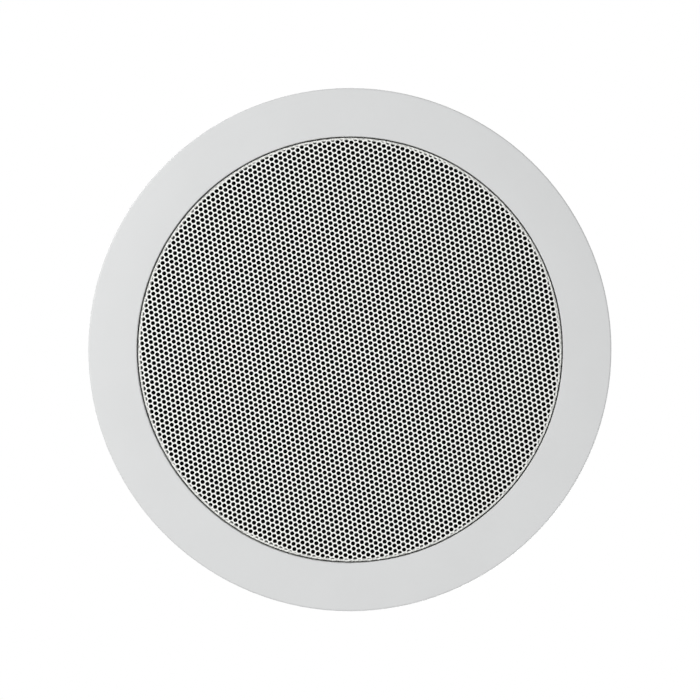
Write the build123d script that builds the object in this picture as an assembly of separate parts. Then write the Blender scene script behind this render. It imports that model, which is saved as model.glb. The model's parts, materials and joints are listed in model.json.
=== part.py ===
from build123d import *
from math import hypot, sqrt
import os

# In-ceiling loudspeaker, two-way, made to be clamped in a round hole in a ceiling panel.
# Millimetres. +Z points up into the ceiling void, and the front faces -Z.
# The origin lies on the axis, in the plane where the flange meets the ceiling.

# Bezel
cutout_diameter = 203.0
neck_clearance = 1.5
neck_wall = 3.1
neck_height = 10.0
flange_overlap = 17.5
flange_thickness = 4.5
flange_crown = 0.9
flange_edge_radius = 0.9
flange_back_radius = 0.5
flange_relief_depth = 1.4
flange_relief_margin = 3.5
flange_rib_count = 24
flange_rib_width = 1.4
lip_edge_radius = 0.4
neck_edge_radius = 1.0
baffle_thickness = 2.8
slot_wall = 1.8
slot_wall_gap = 0.9
slot_rib_count = 12
slot_rib_width = 3.0

# Grille and its cloth
grille_gap = 0.6
grille_sheet = 0.8
grille_depth = 5.0
grille_recess = 0.2
grille_bend = 1.2
slot_clearance = 0.5
perforation_pitch = 15.5
perforation_diameter = 10.3
perforation_angle = 22.0
perforation_margin = 1.0
scrim_thickness = 0.3
scrim_margin = 0.5

# Woofer
woofer_clearance = 1.6
woofer_lap = 6.0
gasket_thickness = 1.5
gasket_setback = 0.5
surround_thickness = 0.6
surround_setback = 1.0
roll_width = 11.0
roll_clearance = 1.5
cone_lap = 4.5
cone_lip_setback = 0.5
cone_depth = 22.8
cone_thickness = 0.6
cone_collar = 3.1
cap_radius = 18.0
cap_height = 4.0
cap_thickness = 0.5
glue_gap = 0.1
coil_bore_radius = 12.65
former_wall = 0.3
former_reach = 1.5
winding_wall = 0.5
winding_length = 10.0
coil_clearance = 0.45
spider_offset = 4.9
spider_thickness = 0.4
spider_inset = 40.5
spider_landing = 4.0
spider_collar = 2.0
spider_waves = 3
spider_wave_share = 0.26
basket_sheet = 1.2
basket_bend = 0.5
basket_mouth_gap = 0.7
basket_shelf_margin = 2.0
basket_cup_room = 4.4
window_count = 8
window_width = 22.0
window_corner_radius = 5.0
window_sill = 4.2
window_head = 3.7
top_plate_thickness = 4.0
top_plate_radius = 37.0
magnet_radius = 40.0
magnet_bore_gap = 2.5
magnet_thickness = 13.0
magnet_edge = 1.0
back_plate_radius = 37.0
back_plate_thickness = 4.5
plate_edge = 0.6

# Woofer screws and their bosses
woofer_screw_count = 4
woofer_screw_angle = 22.5
woofer_screw_inset = 3.0
screw_shank_radius = 1.5
screw_head_radius = 2.8
screw_head_height = 2.0
screw_clearance = 0.1
screw_boss_wall = 1.5
woofer_boss_height = 5.0
woofer_screw_length = 9.0

# Tweeter and the bridge that carries it
bridge_front_gap = 1.4
bridge_arm_width = 10.0
bridge_arm_height = 3.6
bridge_edge_radius = 1.0
bridge_foot_width = 25.0
bridge_foot_length = 9.0
bridge_foot_gap = 3.2
bridge_screw_spread = 8.0
bridge_boss_height = 7.0
bridge_screw_sink = 3.0
bridge_screw_length = 12.0
bridge_ring_wall = 3.0
bridge_ring_height = 14.0
pivot_boss_wall = 2.2
pivot_boss_reach = 2.5
pivot_radius = 2.0
pivot_clearance = 0.06
pivot_setback = 3.5
pivot_end_gap = 1.5
tweeter_radius = 18.5
tweeter_swing_gap = 3.0
tweeter_wall = 1.5
tweeter_front_gap = 8.2
tweeter_back_wall = 1.5
tweeter_back_radius = 3.0
faceplate_thickness = 1.2
faceplate_bore_radius = 14.2
faceplate_bevel = 0.8
dome_radius = 12.4
dome_height = 3.8
dome_thickness = 0.3
dome_flange_radius = 16.4
tweeter_coil_wall = 0.5
tweeter_coil_length = 4.2
tweeter_gap = 0.3
tweeter_pole_thickness = 2.4
tweeter_pole_setback = 2.1
tweeter_magnet_radius = 11.5
tweeter_magnet_thickness = 4.5
tweeter_yoke_floor = 3.0
tweeter_yoke_gap = 0.4

# Ceiling clamps
clamp_count = 4
clamp_angle = 45.0
clamp_inset = 7.9
clamp_screw_radius = 2.0
clamp_head_radius = 3.6
clamp_head_height = 2.6
clamp_hole_clearance = 0.3
clamp_screw_end = 5.0
clamp_tip_chamfer = 0.6
insert_wall = 1.25
insert_clearance = 0.05
insert_groove = 0.3
insert_groove_width = 2.0
dog_hub_wall = 1.65
dog_hub_height = 9.0
dog_reach = 24.0
dog_tip_height = 5.5
dog_toe_length = 5.5
dog_relief = 1.2
dog_rest_height = 20.0
dog_edge = 0.6
tower_wall = 2.0
tower_clearance = 0.4
tower_height = 26.0
tower_length = 20.0

# Drive recess of the screws
recess_share = 0.62
recess_width_share = 0.26
recess_depth_share = 0.5

# Crossover board and what stands on it
board_width = 72.0
board_setback = 8.5
board_depth = 27.5
board_thickness = 1.6
board_corner_radius = 3.0
board_boss_height = 12.0
board_boss_radius = 3.2
board_screw_inset = 3.0
board_screw_length = 8.0
bobbin_share = 0.1736
bobbin_core_radius = 5.0
bobbin_flange = 1.5
bobbin_height = 14.0
bobbin_margin = 2.5
bobbin_bore_radius = 2.5
coil_margin = 0.8
film_width = 9.0
film_can_gap = 3.0
film_can_offset = 0.5
film_height = 15.0
film_edge_radius = 1.2
film_margin = 0.5
can_gap = 3.0
can_height = 18.0
can_margin = 2.0
can_groove = 0.5
can_groove_height = 2.6
resistor_lead_gap = 1.7
resistor_width = 8.0
resistor_height = 8.0
resistor_edge = 0.6
resistor_margin = 1.0
resistor_end_gap = 5.5

# Push terminals
terminal_width = 22.0
terminal_height = 14.0
terminal_screw_gap = 0.7
terminal_pitch = 11.0
terminal_margin = 0.5
terminal_wall = 1.0
terminal_edge = 0.6
wire_radius = 1.4
wire_depth = 10.0
wire_wall = 0.6
lever_width = 7.0
lever_radius = 1.6
lever_length = 7.6
lever_angle = 25.0
lever_clearance = 0.35
lever_pin_radius = 0.9
lever_pin_length = 1.2
lever_pin_clearance = 0.05
lever_depth = 3.0

# Leads
lead_radius = 0.8
lead_spread = 8.0
lead_bend = 8.0
lead_inset = 2.5
strip_width = 24.0
strip_depth = 12.0
strip_thickness = 1.6
strip_setback = 1.3
tag_width = 4.0
tag_thickness = 0.5
tag_reach = 5.0
tag_hold = 8.0
tag_eye_radius = 0.9
tinsel_radius = 0.6
tinsel_bend = 3.0
tinsel_drop = 10.0
tinsel_foot = 26.0
tinsel_gap = 0.3
cable_radius = 1.0
cable_bend = 6.0
cable_rise_bend = 3.5
cable_end_bend = 1.9
cable_groove_gap = 0.3
cable_floor_gap = 0.1
cable_stand = 2.0

# Radii worked out from the driving sizes
neck_radius = cutout_diameter / 2 - neck_clearance
lip_radius = neck_radius - neck_wall
flange_radius = cutout_diameter / 2 + flange_overlap
rim_outer = lip_radius - grille_gap
rim_inner = rim_outer - grille_sheet
slot_wall_outer = rim_inner - slot_clearance
slot_wall_inner = slot_wall_outer - slot_wall
clamp_circle = lip_radius - clamp_inset
insert_bore = clamp_screw_radius + insert_clearance
insert_outer = insert_bore + insert_wall
dog_bore = insert_outer + insert_clearance
dog_hub_radius = dog_bore + dog_hub_wall
tower_face = dog_hub_radius + tower_clearance
woofer_radius = clamp_circle - tower_face - tower_wall - woofer_clearance
opening_radius = woofer_radius - woofer_lap
roll_outer = opening_radius - roll_clearance
roll_inner = roll_outer - roll_width
cone_radius = roll_inner - cone_lap
former_outer = coil_bore_radius + former_wall
winding_outer = former_outer + winding_wall
pole_radius = coil_bore_radius - coil_clearance
gap_radius = winding_outer + coil_clearance
spider_radius = woofer_radius - spider_inset
cup_inner = spider_radius - spider_landing
shelf_radius = spider_radius + basket_shelf_margin
mouth_radius = roll_outer + basket_mouth_gap
woofer_screw_circle = woofer_radius - woofer_screw_inset
screw_hole_radius = screw_shank_radius + screw_clearance
screw_boss_radius = screw_hole_radius + screw_boss_wall
ring_inner = tweeter_radius + tweeter_swing_gap
ring_outer = ring_inner + bridge_ring_wall
foot_outer = slot_wall_inner - bridge_foot_gap
foot_middle = foot_outer - bridge_foot_length / 2

# Heights worked out from the driving sizes
flange_front = -flange_thickness
grille_front = flange_front + grille_recess
grille_back = grille_front + grille_sheet
rim_top = grille_front + grille_depth
scrim_back = grille_back + scrim_thickness
slot_wall_front = grille_back + slot_wall_gap
baffle_back = neck_height
baffle_front = neck_height - baffle_thickness
gasket_back = baffle_back + gasket_thickness
lip_back = gasket_back + surround_thickness
basket_flange_back = lip_back + basket_sheet
cone_neck = lip_back + cone_depth
spider_front = cone_neck + spider_offset
spider_back = spider_front + spider_thickness
shelf_back = spider_back + basket_sheet
cup_floor = shelf_back + basket_cup_room
basket_back = cup_floor + basket_sheet
top_plate_back = basket_back + top_plate_thickness
magnet_back = top_plate_back + magnet_thickness
yoke_back = magnet_back + back_plate_thickness
gap_middle = basket_back + top_plate_thickness / 2
winding_front = gap_middle - winding_length / 2
winding_back = gap_middle + winding_length / 2
bridge_front = scrim_back + bridge_front_gap
arm_back = bridge_front + bridge_arm_height
ring_back = bridge_front + bridge_ring_height
faceplate_front = scrim_back + tweeter_front_gap
faceplate_back = faceplate_front + faceplate_thickness
pivot_height = faceplate_front + pivot_setback
dome_base = faceplate_back + dome_thickness
tweeter_pole_front = dome_base + tweeter_pole_setback
tweeter_pole_back = tweeter_pole_front + tweeter_pole_thickness
tweeter_magnet_back = tweeter_pole_back + tweeter_magnet_thickness
tweeter_yoke_back = tweeter_magnet_back + tweeter_yoke_floor
housing_back = tweeter_yoke_back + tweeter_back_wall
dog_bottom = baffle_back + dog_rest_height
dog_top = dog_bottom + dog_hub_height
clamp_screw_top = dog_top + clamp_screw_end
board_front = baffle_back + board_boss_height
board_back = board_front + board_thickness
terminal_top = board_back + terminal_height
lever_height = terminal_top - lever_depth
strip_back = shelf_back + strip_thickness
tag_back = strip_back + tag_thickness

# Places worked out from the driving sizes
clamp_angles = [clamp_angle + 360 / clamp_count * number for number in range(clamp_count)]
clamp_places = [Rot(0, 0, angle) * Pos(clamp_circle, 0, 0) for angle in clamp_angles]
woofer_screw_places = [
    Rot(0, 0, woofer_screw_angle + 360 / woofer_screw_count * number) * Pos(woofer_screw_circle, 0, 0)
    for number in range(woofer_screw_count)
]
bridge_screw_places = [
    Pos(side * bridge_screw_spread, end * foot_middle, 0) for side in (-1, 1) for end in (-1, 1)
]
board_outer = neck_radius - board_setback
board_inner = board_outer - board_depth
board_screw_x = board_width / 2 - board_screw_inset
board_screw_y = board_screw_inset - board_outer
board_screw_places = [Pos(side * board_screw_x, board_screw_y, 0) for side in (-1, 1)]
terminal_place = board_screw_x - screw_head_radius - terminal_screw_gap - terminal_width / 2
bobbin_radius = bobbin_share * board_width
bobbin_x = bobbin_margin + bobbin_radius - board_width / 2
bobbin_y = -board_inner - board_depth / 2
can_room_left = bobbin_x + bobbin_radius + can_gap
can_room_right = terminal_place - terminal_width / 2 - can_gap
can_radius = (can_room_right - can_room_left) / 2
can_x = (can_room_right + can_room_left) / 2
can_y = can_radius + can_margin - board_outer
film_x = can_x + film_can_offset
film_inner_y = -board_inner - film_margin
film_outer_y = can_y + can_radius + film_can_gap
resistor_left = lead_spread + lead_radius + resistor_lead_gap
resistor_right = board_width / 2 - resistor_end_gap
resistor_y = -board_inner - resistor_margin - resistor_width / 2
wire_y = terminal_margin + terminal_wall + wire_radius - board_outer
lever_free_y = wire_y + wire_radius + wire_wall + lever_clearance
lever_pivot_y = lever_free_y + lever_radius + lever_length
terminal_inner_y = lever_pivot_y + lever_radius + lever_clearance + terminal_wall
terminal_outer_y = terminal_margin - board_outer
lever_places = {
    "red": Pos(terminal_place - terminal_pitch / 2, lever_pivot_y, lever_height),
    "black": Pos(terminal_place + terminal_pitch / 2, lever_pivot_y, lever_height),
}
wire_places = [
    Pos(terminal_place + side * terminal_pitch / 2, wire_y, terminal_top) for side in (-1, 1)
]
strip_inner_y = -cup_inner - basket_sheet - strip_setback
strip_outer_y = strip_inner_y - strip_depth
tag_end_y = strip_outer_y - tag_reach
lead_y = -board_inner - lead_inset
cable_y = -foot_middle
cable_height = bridge_front + bridge_arm_height / 2 - cable_floor_gap
boss_end = ring_outer + pivot_boss_reach


def corner_round(face, corner, radius):
    """Round the corner of a flat face that lies nearest a point."""
    return fillet(face.vertices().sort_by_distance(Vector(*corner))[0], radius)


def turned(face):
    """Turn a (radius, height) face about the speaker's axis."""
    return revolve(Plane.XZ * face, Axis.Z)


def polygon(*points):
    """Flat face with straight sides."""
    return make_face(Polyline(*points, close=True))


def dome_arc(apex, radius, height):
    """Round arc from the axis out to a rim that lies a height above its apex."""
    sphere = (radius**2 + height**2) / (2 * height)
    middle = apex + sphere - sqrt(sphere**2 - radius**2 / 4)
    return ThreePointArc((0, apex), (radius / 2, middle), (radius, apex + height))


def ring(inner, outer, bottom, top):
    """Plain turned ring, or a disc where the inner radius is zero."""
    return turned(polygon((inner, bottom), (outer, bottom), (outer, top), (inner, top)))


def rod(radius, bottom, top):
    """Round rod along Z."""
    return Pos(0, 0, (bottom + top) / 2) * Cylinder(radius, top - bottom)


def slab(x, y, z):
    """Box between two limits along each axis."""
    middle = [(low + high) / 2 for low, high in (x, y, z)]
    return Pos(*middle) * Box(x[1] - x[0], y[1] - y[0], z[1] - z[0])


def cable(points, radius, bends):
    """Round lead along straight runs joined by arcs."""
    path = FilletPolyline(*points, radius=bends)
    return sweep(Plane(origin=path @ 0, z_dir=path % 0) * Circle(radius), path)


def screw(head_radius, head_height, shank_radius, length, chamfer_size):
    """Pan-head screw that points up, its head below Z = 0, with a cross recess."""
    outline = polygon(
        (0, -head_height),
        (head_radius, -head_height),
        (head_radius, 0),
        (shank_radius, 0),
        (shank_radius, length - chamfer_size),
        (shank_radius - chamfer_size, length),
        (0, length),
    )
    body = turned(corner_round(outline, (head_radius, -head_height), head_height / 2))
    reach = head_radius * recess_share
    half = head_radius * recess_width_share / 2
    depth = (-head_height, -head_height * (1 - recess_depth_share))
    body -= slab((-reach, reach), (-half, half), depth)
    return body - slab((-half, half), (-reach, reach), depth)


def group(shapes):
    """Several separate solids in one node."""
    return Compound([solid for shape in shapes for solid in shape.solids()])


def bezel():
    """White moulding: flange, neck, baffle, grille slot, clamp towers and bosses."""
    crown = ThreePointArc(
        (lip_radius, flange_front),
        ((lip_radius + flange_radius) / 2, flange_front + flange_crown / 4),
        (flange_radius, flange_front + flange_crown),
    )
    sides = Polyline(
        (flange_radius, flange_front + flange_crown),
        (flange_radius, 0),
        (flange_radius - flange_relief_margin, 0),
        (flange_radius - flange_relief_margin, -flange_relief_depth),
        (neck_radius + flange_relief_margin, -flange_relief_depth),
        (neck_radius + flange_relief_margin, 0),
        (neck_radius, 0),
        (neck_radius, baffle_back),
        (opening_radius, baffle_back),
        (opening_radius, baffle_front),
        (slot_wall_inner, baffle_front),
        (slot_wall_inner, slot_wall_front),
        (slot_wall_outer, slot_wall_front),
        (slot_wall_outer, baffle_front),
        (lip_radius, baffle_front),
        (lip_radius, flange_front),
    )
    face = make_face([crown, *sides.edges()])
    face = corner_round(face, (flange_radius, flange_front + flange_crown), flange_edge_radius)
    face = corner_round(face, (flange_radius, 0), flange_back_radius)
    face = corner_round(face, (lip_radius, flange_front), lip_edge_radius)
    face = corner_round(face, (neck_radius, baffle_back), neck_edge_radius)
    body = turned(face)

    flange_rib = slab(
        (neck_radius + flange_relief_margin / 2, flange_radius - flange_relief_margin / 2),
        (-flange_rib_width / 2, flange_rib_width / 2),
        (-flange_relief_depth - flange_relief_depth / 2, 0),
    )
    slot_rib = slab(
        (slot_wall_outer - slot_wall / 2, lip_radius + neck_wall / 2),
        (-slot_rib_width / 2, slot_rib_width / 2),
        (rim_top, baffle_front),
    )
    ribs = [Rot(0, 0, 360 / flange_rib_count * number) * flange_rib for number in range(flange_rib_count)]
    ribs += [Rot(0, 0, 360 / slot_rib_count * number) * slot_rib for number in range(slot_rib_count)]
    woofer_boss = rod(screw_boss_radius, baffle_front - woofer_boss_height, baffle_front)
    bridge_boss = rod(screw_boss_radius, baffle_back, baffle_back + bridge_boss_height)
    board_boss = rod(board_boss_radius, baffle_back, board_front)
    bosses = [place * woofer_boss for place in woofer_screw_places]
    bosses += [place * bridge_boss for place in bridge_screw_places]
    bosses += [place * board_boss for place in board_screw_places]
    towers = [place * clamp_tower() for place in clamp_places]
    body = body.fuse(*ribs, *bosses, *towers)

    through = (baffle_front - woofer_boss_height, baffle_back + bridge_boss_height)
    pilot = rod(screw_hole_radius, *through)
    clamp_hole = rod(clamp_screw_radius + clamp_hole_clearance, baffle_front, baffle_back)
    board_pilot = rod(screw_hole_radius, board_back - board_screw_length, board_front)
    holes = [place * pilot for place in woofer_screw_places + bridge_screw_places]
    holes += [place * clamp_hole for place in clamp_places]
    holes += [place * board_pilot for place in board_screw_places]
    holes += [Pos(0, cable_y, 0) * rod(cable_radius + cable_groove_gap, baffle_front, baffle_back)]
    return body.cut(*holes)


def clamp_tower():
    """L-shaped wall: one leg backs the stowed clamp arm, the other stops its swing."""
    back = -tower_face - tower_wall
    tip = lip_radius - clamp_circle
    outline = polygon(
        (back, -tower_length),
        (-tower_face, -tower_length),
        (-tower_face, tower_face),
        (tip, tower_face),
        (tip, tower_face + tower_wall),
        (back, tower_face + tower_wall),
    )
    outline = corner_round(outline, (back, tower_face + tower_wall), tower_wall)
    return Pos(0, 0, baffle_back) * extrude(outline, tower_height)


def grille():
    """Stamped pan, perforated on a staggered pattern up to its turned rim."""
    outline = polygon(
        (0, grille_front),
        (rim_outer, grille_front),
        (rim_outer, rim_top),
        (rim_inner, rim_top),
        (rim_inner, grille_back),
        (0, grille_back),
    )
    outline = corner_round(outline, (rim_outer, grille_front), grille_bend)
    outline = corner_round(outline, (rim_inner, grille_back), grille_bend - grille_sheet)
    punch = rod(perforation_diameter / 2, grille_front, grille_back)
    limit = rim_outer - grille_bend - perforation_margin - perforation_diameter / 2
    count = int(limit / perforation_pitch * 2)
    steps = range(-count, count + 1)
    places = [
        ((column + row / 2) * perforation_pitch, row * perforation_pitch * sqrt(3) / 2)
        for row in steps
        for column in steps
    ]
    turn = Rot(0, 0, perforation_angle)
    punches = [turn * Pos(x, y, 0) * punch for x, y in places if hypot(x, y) < limit]
    return turned(outline).cut(*punches)


def grille_scrim():
    """Black cloth disc on the back of the grille."""
    return ring(0, rim_inner - scrim_margin, grille_back, scrim_back)


def woofer_gasket():
    """Foam ring between baffle and woofer."""
    body = ring(opening_radius + gasket_setback, woofer_radius, baffle_back, gasket_back)
    screw_hole = rod(screw_hole_radius, baffle_back, gasket_back)
    return body.cut(*[place * screw_hole for place in woofer_screw_places])


def woofer_surround():
    """Rubber half roll with a lip on each side."""
    middle = (roll_inner + roll_outer) / 2
    radius = roll_width / 2
    lip_inner = cone_radius + cone_lip_setback
    lip_outer = woofer_radius - surround_setback
    crest = gasket_back - radius
    front = ThreePointArc((roll_inner, gasket_back), (middle, crest), (roll_outer, gasket_back))
    back = ThreePointArc(
        (roll_outer - surround_thickness, gasket_back),
        (middle, crest + surround_thickness),
        (roll_inner + surround_thickness, gasket_back),
    )
    outer_lip = Polyline(
        (roll_outer, gasket_back),
        (lip_outer, gasket_back),
        (lip_outer, lip_back),
        (roll_outer - surround_thickness, lip_back),
        (roll_outer - surround_thickness, gasket_back),
    )
    inner_lip = Polyline(
        (roll_inner + surround_thickness, gasket_back),
        (roll_inner + surround_thickness, lip_back),
        (lip_inner, lip_back),
        (lip_inner, gasket_back),
        (roll_inner, gasket_back),
    )
    body = turned(make_face([front, *outer_lip.edges(), back, *inner_lip.edges()]))
    screw_hole = rod(screw_hole_radius, gasket_back, lip_back)
    return body.cut(*[place * screw_hole for place in woofer_screw_places])


def woofer_basket():
    """Stamped steel frame: flange, sloped wall with windows, spider shelf and cup."""
    wall_run = (mouth_radius - shelf_radius) / (spider_back - lip_back)
    wall_shift = basket_sheet * (hypot(1, wall_run) - wall_run)
    outline = polygon(
        (woofer_radius, lip_back),
        (woofer_radius, basket_flange_back),
        (mouth_radius + wall_shift, basket_flange_back),
        (shelf_radius + wall_shift, shelf_back),
        (cup_inner + basket_sheet, shelf_back),
        (cup_inner + basket_sheet, basket_back),
        (gap_radius, basket_back),
        (gap_radius, cup_floor),
        (cup_inner, cup_floor),
        (cup_inner, spider_back),
        (shelf_radius, spider_back),
        (mouth_radius, lip_back),
    )
    body = turned(fillet(outline.vertices(), basket_bend))
    sill = basket_flange_back + window_sill
    head = spider_back - window_head
    pane = RectangleRounded(window_width, head - sill, window_corner_radius)
    outward = Plane.YZ.offset(cup_inner) * Pos(0, (sill + head) / 2)
    window = extrude(outward * pane, woofer_radius - cup_inner)
    windows = [Rot(0, 0, 360 / window_count * number) * window for number in range(window_count)]
    screw_hole = rod(screw_hole_radius, lip_back, basket_flange_back)
    return body.cut(*windows, *[place * screw_hole for place in woofer_screw_places])


def cone_front_at(radius):
    """Height of the cone's front at a radius."""
    return lip_back + (cone_radius - radius) * cone_depth / (cone_radius - former_outer)


def woofer_cone():
    """Cone with a flat rim and a collar round the voice coil former."""
    collar_inner = former_outer + glue_gap / 2
    collar_outer = collar_inner + cone_thickness
    rise = cone_thickness * hypot(1, cone_depth / (cone_radius - former_outer))
    return turned(
        polygon(
            (roll_inner, lip_back),
            (cone_radius, lip_back),
            (collar_inner, cone_front_at(collar_inner)),
            (collar_inner, cone_neck + cone_collar),
            (collar_outer, cone_neck + cone_collar),
            (collar_outer, cone_front_at(collar_outer) + rise),
            (cone_radius, lip_back + rise),
            (roll_inner, lip_back + cone_thickness),
        )
    )


def dust_cap():
    """Domed cap over the voice coil."""
    edge_back = cone_front_at(cap_radius) - glue_gap
    edge_front = edge_back - cap_thickness
    apex = edge_front - cap_height
    front = dome_arc(apex, cap_radius, cap_height)
    back = dome_arc(apex + cap_thickness, cap_radius, cap_height)
    rim = Line((cap_radius, edge_front), (cap_radius, edge_back))
    axis = Line((0, apex + cap_thickness), (0, apex))
    return turned(make_face([front, rim, back, axis]))


def coil_former():
    """Thin tube that carries the voice coil."""
    return ring(coil_bore_radius, former_outer, cone_neck - former_reach, winding_back)


def coil_winding():
    """Copper winding on the former."""
    return ring(former_outer, winding_outer, winding_front, winding_back)


def woofer_spider():
    """Corrugated cloth ring that centres the voice coil."""
    inner = former_outer + glue_gap
    start = inner + spider_collar
    width = (cup_inner - start) / (2 * spider_waves)

    def waves(height):
        arcs = []
        for number in range(2 * spider_waves):
            left = start + number * width
            crest = height + spider_wave_share * width * (-1) ** number
            arcs.append(ThreePointArc((left, height), (left + width / 2, crest), (left + width, height)))
        return arcs

    collar = Polyline(
        (start, spider_front),
        (inner, spider_front),
        (inner, spider_back),
        (start, spider_back),
    )
    landing = Polyline(
        (cup_inner, spider_front),
        (spider_radius, spider_front),
        (spider_radius, spider_back),
        (cup_inner, spider_back),
    )
    edges = [*waves(spider_front), *waves(spider_back), *collar.edges(), *landing.edges()]
    return turned(make_face(edges))


def edged_ring(inner, outer, bottom, top, edge):
    """Turned ring with both outer edges broken."""
    return turned(
        polygon(
            (inner, bottom),
            (outer - edge, bottom),
            (outer, bottom + edge),
            (outer, top - edge),
            (outer - edge, top),
            (inner, top),
        )
    )


def top_plate():
    """Front steel ring of the motor."""
    return edged_ring(gap_radius, top_plate_radius, basket_back, top_plate_back, plate_edge)


def magnet():
    """Ferrite ring."""
    bore = gap_radius + magnet_bore_gap
    return edged_ring(bore, magnet_radius, top_plate_back, magnet_back, magnet_edge)


def back_plate():
    """Back steel disc with the pole, in one piece."""
    return turned(
        polygon(
            (0, basket_back),
            (pole_radius, basket_back),
            (pole_radius, magnet_back),
            (back_plate_radius, magnet_back),
            (back_plate_radius, yoke_back - plate_edge),
            (back_plate_radius - plate_edge, yoke_back),
            (0, yoke_back),
        )
    )


def small_screw(length):
    """Screw of the size that holds woofer, bridge and board, pointing up."""
    return screw(screw_head_radius, screw_head_height, screw_shank_radius, length, plate_edge)


def woofer_screws():
    """Screws that hold the woofer to the baffle from behind."""
    body = Pos(0, 0, basket_flange_back) * Rot(180, 0, 0) * small_screw(woofer_screw_length)
    return group([place * body for place in woofer_screw_places])


def bridge_screws():
    """Screws that hold the bridge's feet to the baffle from the front."""
    body = Pos(0, 0, bridge_front + bridge_screw_sink) * small_screw(bridge_screw_length)
    return group([place * body for place in bridge_screw_places])


def board_screws():
    """Screws that hold the crossover board on its bosses."""
    body = Pos(0, 0, board_back) * Rot(180, 0, 0) * small_screw(board_screw_length)
    return group([place * body for place in board_screw_places])


def tweeter_bridge():
    """Moulded bar across the woofer, with a ring that holds the tweeter's pivots."""
    arm_end = foot_outer - bridge_foot_length / 2
    arms = slab(
        (-bridge_arm_width / 2, bridge_arm_width / 2), (-arm_end, arm_end), (bridge_front, arm_back)
    )
    arms = fillet(arms.edges().filter_by(Axis.Y).group_by(Axis.Z)[0], bridge_edge_radius)
    feet = []
    for end in (-1, 1):
        foot = slab(
            (-bridge_foot_width / 2, bridge_foot_width / 2),
            (-bridge_foot_length / 2, bridge_foot_length / 2),
            (bridge_front, baffle_front),
        )
        foot = fillet(foot.edges().filter_by(Axis.Z), bridge_edge_radius * 2)
        feet.append(Pos(0, end * foot_middle, 0) * foot)
    outside = rod(ring_outer, bridge_front, ring_back)
    outside = fillet(outside.edges().group_by(Axis.Z)[0], bridge_edge_radius)
    pivot_boss = Pos(0, 0, pivot_height) * Rot(90, 0, 0) * Cylinder(
        pivot_radius + pivot_clearance + pivot_boss_wall, 2 * boss_end
    )
    body = arms.fuse(*feet, outside, pivot_boss)
    body -= rod(ring_inner, bridge_front, baffle_back + bridge_ring_height)
    body -= Pos(0, 0, pivot_height) * Rot(90, 0, 0) * Cylinder(pivot_radius + pivot_clearance, 2 * boss_end)
    sink = rod(screw_head_radius + screw_boss_wall / 2, bridge_front, bridge_front + bridge_screw_sink)
    shank = rod(screw_hole_radius, bridge_front, baffle_front)
    body = body.cut(*[place * tool for place in bridge_screw_places for tool in (sink, shank)])
    half = cable_radius + cable_groove_gap
    groove_floor = cable_height - cable_radius - cable_floor_gap
    groove_start = cable_y - half
    foot_end = bridge_foot_length / 2 - foot_middle
    body -= slab((-half, half), (groove_start, -ring_outer), (groove_floor, arm_back))
    return body - slab((-half, half), (groove_start, foot_end), (groove_floor, baffle_front))


def tweeter_housing():
    """Cup behind the tweeter, with the two trunnions that it tilts on."""
    inner = tweeter_radius - tweeter_wall
    outline = polygon(
        (0, tweeter_yoke_back),
        (inner, tweeter_yoke_back),
        (inner, faceplate_back),
        (tweeter_radius, faceplate_back),
        (tweeter_radius, housing_back),
        (0, housing_back),
    )
    outline = corner_round(outline, (tweeter_radius, housing_back), tweeter_back_radius)
    root = tweeter_radius - tweeter_wall / 2
    tip = boss_end - pivot_end_gap
    trunnion = Rot(90, 0, 0) * Cylinder(pivot_radius, tip - root)
    middle = (root + tip) / 2
    return turned(outline).fuse(*[Pos(0, end * middle, pivot_height) * trunnion for end in (-1, 1)])


def tweeter_faceplate():
    """Front ring of the tweeter, bevelled towards the dome."""
    return turned(
        polygon(
            (faceplate_bore_radius + faceplate_bevel, faceplate_front),
            (tweeter_radius, faceplate_front),
            (tweeter_radius, faceplate_back),
            (faceplate_bore_radius, faceplate_back),
            (faceplate_bore_radius, faceplate_front + faceplate_bevel),
        )
    )


def tweeter_dome():
    """Soft dome with its flat edge."""
    apex = faceplate_back - dome_height
    inner = dome_radius - dome_thickness
    front = dome_arc(apex, dome_radius, dome_height)
    back = dome_arc(apex + dome_thickness, inner, dome_height)
    edge = Polyline(
        (dome_radius, faceplate_back),
        (dome_flange_radius, faceplate_back),
        (dome_flange_radius, dome_base),
        (inner, dome_base),
    )
    axis = Line((0, apex + dome_thickness), (0, apex))
    return turned(make_face([front, *edge.edges(), back, axis]))


def tweeter_coil():
    """Voice coil of the tweeter."""
    return ring(dome_radius, dome_radius + tweeter_coil_wall, dome_base, dome_base + tweeter_coil_length)


def tweeter_pole_plate():
    """Steel disc inside the coil."""
    return ring(0, dome_radius - tweeter_gap, tweeter_pole_front, tweeter_pole_back)


def tweeter_magnet():
    """Magnet disc under the pole plate."""
    return ring(0, tweeter_magnet_radius, tweeter_pole_back, tweeter_magnet_back)


def tweeter_yoke():
    """Steel cup round coil and magnet."""
    outer = tweeter_radius - tweeter_wall - tweeter_yoke_gap
    inner = dome_radius + tweeter_coil_wall + tweeter_gap
    return turned(
        polygon(
            (0, tweeter_magnet_back),
            (inner, tweeter_magnet_back),
            (inner, dome_base),
            (outer, dome_base),
            (outer, tweeter_yoke_back),
            (0, tweeter_yoke_back),
        )
    )


def clamp_screw():
    """Long screw that draws one clamp arm down on the ceiling."""
    length = clamp_screw_top - baffle_front
    body = screw(clamp_head_radius, clamp_head_height, clamp_screw_radius, length, clamp_tip_chamfer)
    return Pos(0, 0, baffle_front) * body


def clamp_insert():
    """Threaded brass bush in the clamp arm, with a groove round its middle."""
    middle = (dog_bottom + dog_top) / 2
    groove = insert_groove_width / 2
    return turned(
        polygon(
            (insert_bore, dog_bottom),
            (insert_outer, dog_bottom),
            (insert_outer, middle - groove),
            (insert_outer - insert_groove, middle - groove),
            (insert_outer - insert_groove, middle + groove),
            (insert_outer, middle + groove),
            (insert_outer, dog_top),
            (insert_bore, dog_top),
        )
    )


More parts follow.
